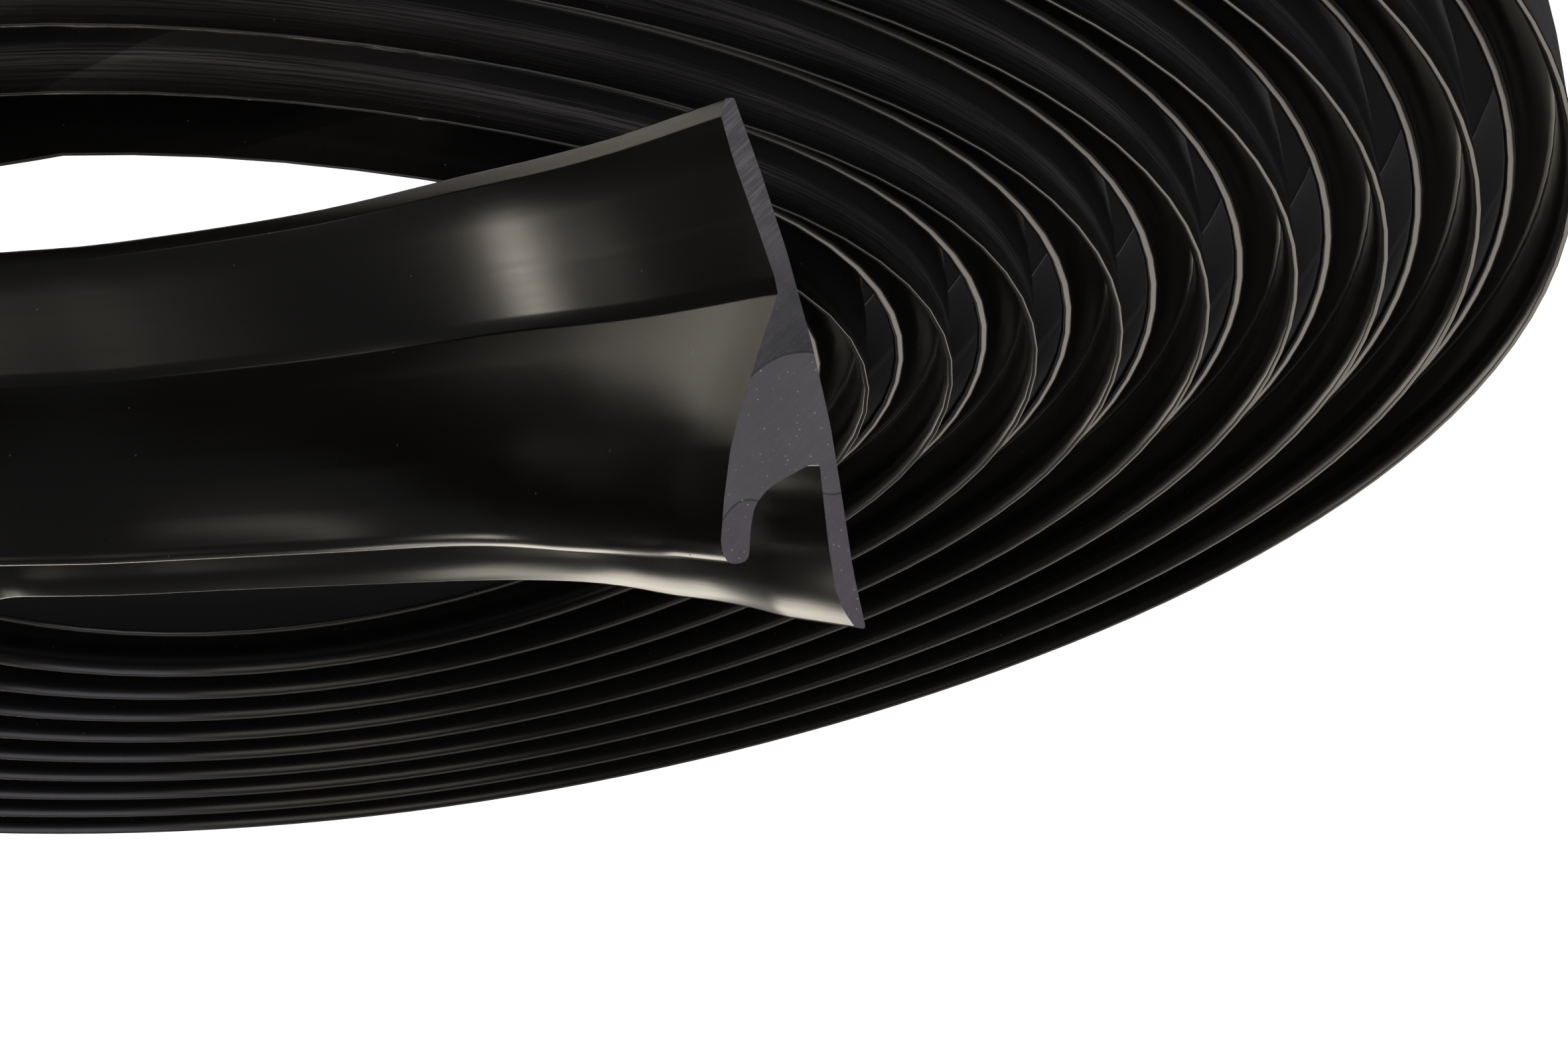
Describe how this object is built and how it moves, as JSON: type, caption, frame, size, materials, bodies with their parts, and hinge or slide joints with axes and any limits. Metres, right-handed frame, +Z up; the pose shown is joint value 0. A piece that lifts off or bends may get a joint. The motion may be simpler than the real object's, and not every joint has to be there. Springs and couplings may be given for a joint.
{
  "type": "rub rail",
  "caption": "Coil of black rubber rub rail: an extruded strip with a tapering tongue, a swelling body and two lips round a slot, its inner end raised.",
  "frame": {"origin": "middle of the coil's box, on the floor it lies on", "axes": "+Z up out of the floor along the coil's axis, -Y towards the raised inner end"},
  "size_m": [0.9108, 0.9, 0.3197],
  "materials": {
    "black_rubber": "satin black rubber, smooth on the body side, with a dusty scuffed band along the back"
  },
  "bodies": {
    "root": {"rub_rail": "black_rubber"}
  },
  "joints": []
}
